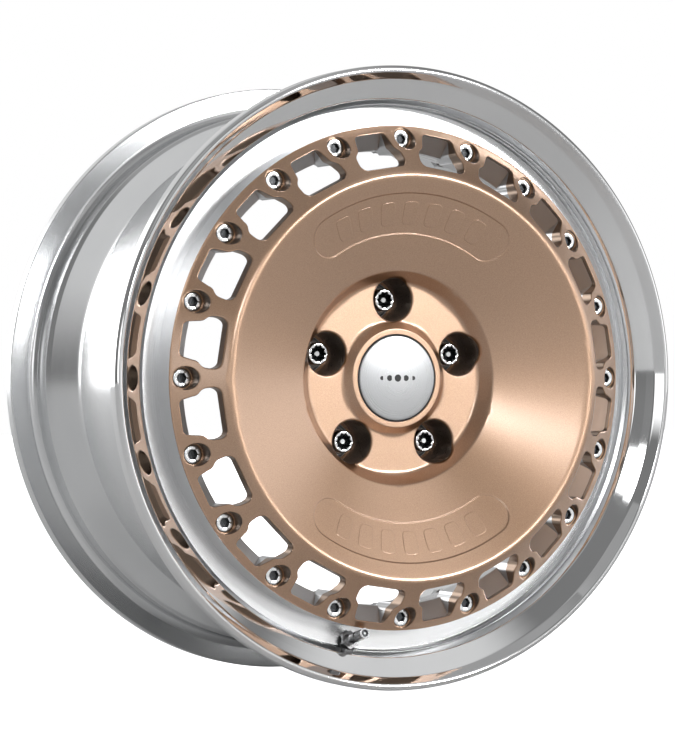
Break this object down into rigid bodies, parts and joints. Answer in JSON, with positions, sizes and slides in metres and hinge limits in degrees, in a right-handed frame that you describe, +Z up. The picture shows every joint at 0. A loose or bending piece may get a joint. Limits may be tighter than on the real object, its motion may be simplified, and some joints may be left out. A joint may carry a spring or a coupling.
{
  "type": "forged racing wheel rim",
  "caption": "Three-piece forged racing wheel: bronze bulged disc with windows and sunk rim bolts, polished step lip and barrel, splined wheel bolts, centre cap and metal valve.",
  "frame": {"origin": "centre of the hub mounting face, on the wheel's axis", "axes": "+Y along the axle towards the car, face looking along -Y, +Z up"},
  "size_m": [0.4436, 0.2319, 0.4436],
  "materials": {
    "bronze_coat": "satin metallic bronze coat",
    "lip_polish": "mirror polished",
    "barrel_polish": "bright satin polish",
    "machined_ring": "fine turned, satin",
    "bolt_steel": "bright zinc plated",
    "plain_steel": "plain satin steel",
    "lug_chrome": "chrome plated",
    "cap_aluminium": "turned",
    "cap_silver": "soft satin silver",
    "black_rubber": "matte black",
    "black_plastic": "matte black",
    "valve_metal": "nickel plated",
    "valve_brass": "bright brass"
  },
  "bodies": {
    "wheel": {"outer_rim_half": "lip_polish", "inner_rim_half": "barrel_polish", "rim_seal": "black_rubber", "backing_ring": "machined_ring", "centre_disc": "bronze_coat", "rim_bolts": "bolt_steel", "rim_nut_washers": "plain_steel", "rim_nuts": "plain_steel", "seat_inserts": "plain_steel", "hub_ring": "black_plastic", "valve_stem": "valve_metal", "valve_washer": "black_rubber", "valve_nut": "valve_metal", "valve_inner_seal": "black_rubber", "valve_core": "valve_brass"},
    "centre_cap": {"cap_body": "cap_aluminium", "cap_disc": "cap_silver", "cap_ring": "black_rubber", "cap_o_ring": "black_rubber"},
    "valve_pin": {"valve_pin": "valve_brass"},
    "bolt_collar_1": {"bolt_collar_1": "plain_steel"},
    "wheel_bolt_1": {"wheel_bolt_1": "lug_chrome"},
    "bolt_collar_2": {"bolt_collar_2": "plain_steel"},
    "wheel_bolt_2": {"wheel_bolt_2": "lug_chrome"},
    "bolt_collar_3": {"bolt_collar_3": "plain_steel"},
    "wheel_bolt_3": {"wheel_bolt_3": "lug_chrome"},
    "bolt_collar_4": {"bolt_collar_4": "plain_steel"},
    "wheel_bolt_4": {"wheel_bolt_4": "lug_chrome"},
    "bolt_collar_5": {"bolt_collar_5": "plain_steel"},
    "wheel_bolt_5": {"wheel_bolt_5": "lug_chrome"}
  },
  "joints": [
    {"name": "bolt_1_lift", "type": "slide", "parent": "wheel", "child": "bolt_collar_1", "axis": [0, -1, 0], "range_m": [0, 0.015]},
    {"name": "bolt_1_screw", "type": "hinge", "parent": "bolt_collar_1", "child": "wheel_bolt_1", "pos_m": [0, -0.019, 0.056], "axis": [0, -1, 0], "range_deg": [0, 3600]},
    {"name": "bolt_2_lift", "type": "slide", "parent": "wheel", "child": "bolt_collar_2", "axis": [0, -1, 0], "range_m": [0, 0.015]},
    {"name": "bolt_2_screw", "type": "hinge", "parent": "bolt_collar_2", "child": "wheel_bolt_2", "pos_m": [-0.05326, -0.019, 0.01731], "axis": [0, -1, 0], "range_deg": [0, 3600]},
    {"name": "bolt_3_lift", "type": "slide", "parent": "wheel", "child": "bolt_collar_3", "axis": [0, -1, 0], "range_m": [0, 0.015]},
    {"name": "bolt_3_screw", "type": "hinge", "parent": "bolt_collar_3", "child": "wheel_bolt_3", "pos_m": [-0.03292, -0.019, -0.0453], "axis": [0, -1, 0], "range_deg": [0, 3600]},
    {"name": "bolt_4_lift", "type": "slide", "parent": "wheel", "child": "bolt_collar_4", "axis": [0, -1, 0], "range_m": [0, 0.015]},
    {"name": "bolt_4_screw", "type": "hinge", "parent": "bolt_collar_4", "child": "wheel_bolt_4", "pos_m": [0.03292, -0.019, -0.0453], "axis": [0, -1, 0], "range_deg": [0, 3600]},
    {"name": "bolt_5_lift", "type": "slide", "parent": "wheel", "child": "bolt_collar_5", "axis": [0, -1, 0], "range_m": [0, 0.015]},
    {"name": "bolt_5_screw", "type": "hinge", "parent": "bolt_collar_5", "child": "wheel_bolt_5", "pos_m": [0.05326, -0.019, 0.01731], "axis": [0, -1, 0], "range_deg": [0, 3600]},
    {"name": "cap_pull", "type": "slide", "parent": "wheel", "child": "centre_cap", "axis": [0, -1, 0], "range_m": [0, 0.018]},
    {"name": "valve_press", "type": "slide", "parent": "wheel", "child": "valve_pin", "axis": [-0.0508, 0.9563, -0.2879], "range_m": [0, 0.0012], "stiffness_N_per_m": 200, "springref_m": -0.001}
  ],
  "couplings": [
    {"joint": "bolt_1_screw", "follows": "bolt_1_lift", "rad_per_m": 4188.8},
    {"joint": "bolt_2_screw", "follows": "bolt_2_lift", "rad_per_m": 4188.8},
    {"joint": "bolt_3_screw", "follows": "bolt_3_lift", "rad_per_m": 4188.8},
    {"joint": "bolt_4_screw", "follows": "bolt_4_lift", "rad_per_m": 4188.8},
    {"joint": "bolt_5_screw", "follows": "bolt_5_lift", "rad_per_m": 4188.8}
  ]
}
